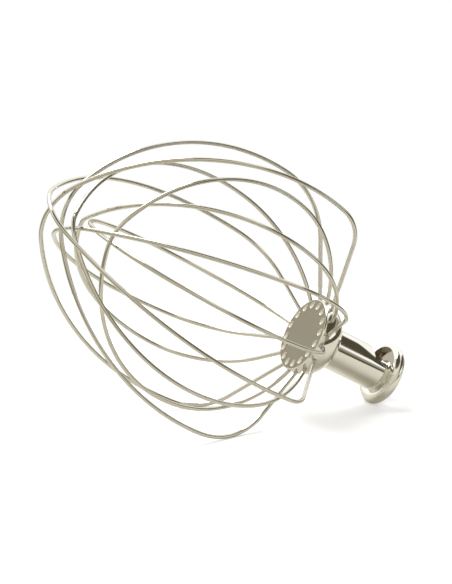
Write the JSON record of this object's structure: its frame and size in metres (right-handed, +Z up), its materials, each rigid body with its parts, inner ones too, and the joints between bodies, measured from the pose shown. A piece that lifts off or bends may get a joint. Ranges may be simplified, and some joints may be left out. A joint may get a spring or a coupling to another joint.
{
  "type": "stand mixer wire whip",
  "caption": "Balloon wire whip for a stand mixer: bent steel wire loops staked into a turned hub with a bayonet socket, lying at rest.",
  "frame": {"origin": "middle of the whip's outline on the table that it lies on", "axes": "+Z up from the table, X along the whip as it lies with the socket towards +X and the tip of the cage towards -X and up"},
  "size_m": [0.1688, 0.1228, 0.126],
  "materials": {
    "hub": "polished stainless steel with a fine-turned matte face",
    "wire": "satin drawn stainless steel wire"
  },
  "bodies": {
    "root": {"hub": "hub", "wire_loop_1": "wire", "wire_loop_2": "wire", "wire_loop_3": "wire", "wire_loop_4": "wire", "wire_loop_5": "wire", "wire_loop_6": "wire", "wire_loop_7": "wire", "wire_loop_8": "wire"}
  },
  "joints": []
}
